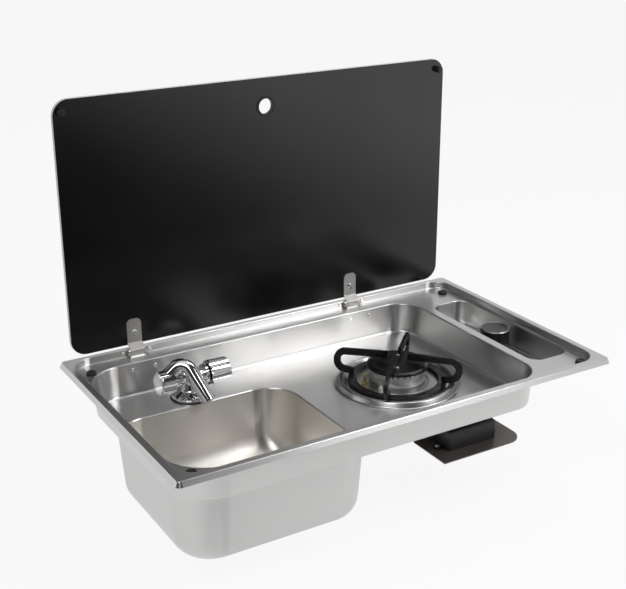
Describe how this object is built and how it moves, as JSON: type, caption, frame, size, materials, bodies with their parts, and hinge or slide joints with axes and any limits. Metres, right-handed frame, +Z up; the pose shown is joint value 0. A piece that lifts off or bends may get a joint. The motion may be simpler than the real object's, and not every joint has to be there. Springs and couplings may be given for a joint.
{
  "type": "sink and stove combo",
  "caption": "Drop-in motorhome sink and gas burner in one pressed steel deck, with a hinged black glass lid, low swing-spout tap, strainer drain and push-and-turn gas knob.",
  "frame": {"origin": "on the worktop plane, which is the underside of the rim seal, midway along the deck and 182.5 mm in front of its back edge", "axes": "+Z up, +Y to the back where the lid hinges, +X to the right where the gas knob is"},
  "size_m": [0.63, 0.3779, 0.5357],
  "materials": {
    "pressed_steel": "brushed",
    "plain_steel": "satin",
    "chrome": "polished",
    "black_glass": "polished",
    "black_rubber": "matt",
    "foam": "matt",
    "black_enamel": "matt enamel",
    "cast_alloy": "cast",
    "brass": "turned",
    "ceramic": "glazed",
    "black_plastic": "fine grain",
    "white_plastic": "smooth",
    "tray_steel": "dark zinc"
  },
  "bodies": {
    "deck": {"deck_pan": "pressed_steel", "sink_bowl": "pressed_steel", "rim_seal": "foam", "ledge_bumpers": "black_rubber", "hinge_bracket_left": "plain_steel", "hinge_bracket_right": "plain_steel", "hinge_pins": "plain_steel", "hinge_rivets": "plain_steel", "tap_gasket": "black_rubber", "tap_body": "chrome", "tap_washer": "plain_steel", "tap_backnut": "brass", "water_tail": "brass", "drain_body": "plain_steel", "drain_gasket": "black_rubber", "drain_nut": "white_plastic", "waste_tail": "white_plastic", "burner_dish": "pressed_steel", "pan_support": "black_enamel", "burner_cup": "cast_alloy", "flame_crown": "cast_alloy", "burner_cap": "black_enamel", "cap_screws": "plain_steel", "spark_electrode": "ceramic", "spark_wire": "plain_steel", "thermocouple": "brass", "gas_jet": "brass", "burner_pipe": "cast_alloy", "pipe_nuts": "brass", "gas_inlet_pipe": "plain_steel", "gas_valve": "brass", "valve_nut": "plain_steel", "valve_spring": "plain_steel", "igniter_tray": "tray_steel", "igniter_box": "black_plastic", "box_screws": "plain_steel", "tray_studs": "plain_steel", "tray_nuts": "plain_steel"},
    "lid": {"lid_glass": "black_glass", "lid_grommet": "black_rubber", "lid_pads": "black_rubber", "hinge_strap_left": "plain_steel", "hinge_strap_right": "plain_steel", "strap_screws": "plain_steel", "glass_washers": "white_plastic", "strap_nuts": "plain_steel"},
    "spout": {"tap_spout": "chrome", "spout_aerator": "white_plastic"},
    "tap_handle": {"tap_knob": "chrome", "tap_spindle": "brass"},
    "knob_push": {"valve_plunger": "brass"},
    "knob_dial": {"gas_knob": "black_plastic", "valve_spindle": "brass"}
  },
  "joints": [
    {"name": "lid_hinge", "type": "hinge", "parent": "deck", "child": "lid", "pos_m": [0, 0.168, 0.001], "axis": [1, 0, 0], "range_deg": [0, 90]},
    {"name": "spout_swing", "type": "hinge", "parent": "deck", "child": "spout", "pos_m": [-0.161, 0.1048, -0.0215], "axis": [-1, 0, 0], "range_deg": [0, 40]},
    {"name": "tap_knob_turn", "type": "hinge", "parent": "deck", "child": "tap_handle", "pos_m": [-0.161, 0.1048, -0.0215], "axis": [1, 0, 0], "range_deg": [0, 90]},
    {"name": "gas_knob_press", "type": "slide", "parent": "deck", "child": "knob_push", "axis": [0, 0, -1], "range_m": [0, 0.004], "stiffness_N_per_m": 1000, "springref_m": -0.004, "deforming": ["valve_spring"]},
    {"name": "gas_knob_turn", "type": "hinge", "parent": "knob_push", "child": "knob_dial", "pos_m": [0.2685, -0.00425, -0.02], "axis": [0, 0, 1], "range_deg": [0, 180]}
  ]
}
